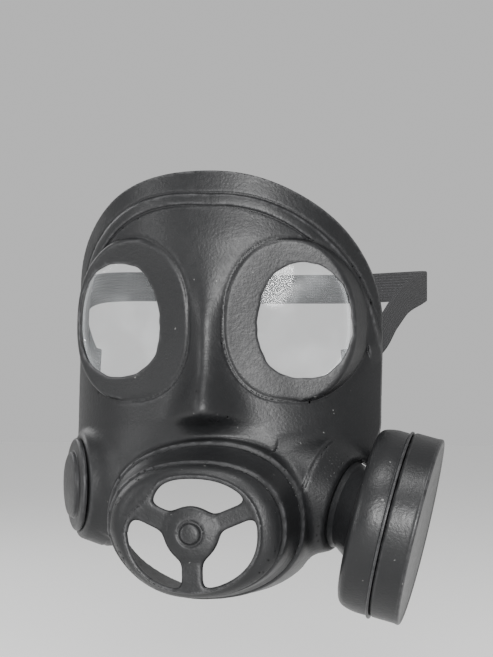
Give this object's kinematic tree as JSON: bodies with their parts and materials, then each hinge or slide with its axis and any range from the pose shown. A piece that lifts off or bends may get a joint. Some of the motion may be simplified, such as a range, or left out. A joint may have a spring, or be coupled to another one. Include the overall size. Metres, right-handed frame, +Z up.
{
  "type": "costume gas mask",
  "caption": "Soft moulded costume mask with film lenses, an open mouth grille, a drum filter at one cheek, a round cap at the other and an elastic head strap.",
  "frame": {"origin": "inner side of the nose bridge, midway between the eyes, where the mask sits on the face", "axes": "+X towards the wearer's left, where the filter drum is; +Y from the nose into the head; +Z up"},
  "size_m": [0.1811, 0.2266, 0.1967],
  "materials": {
    "mask_rubber": "matte satin, faintly mottled",
    "canister_shell": "satin, faintly mottled",
    "clear_film": "clear thin film",
    "strap_elastic": "woven elastic"
  },
  "bodies": {
    "root": {"face_piece": "mask_rubber", "lens_left": "clear_film", "lens_right": "clear_film", "side_cap": "mask_rubber", "canister_neck": "mask_rubber", "canister_inner": "canister_shell", "canister_outer": "canister_shell", "head_strap": "strap_elastic"}
  },
  "joints": []
}
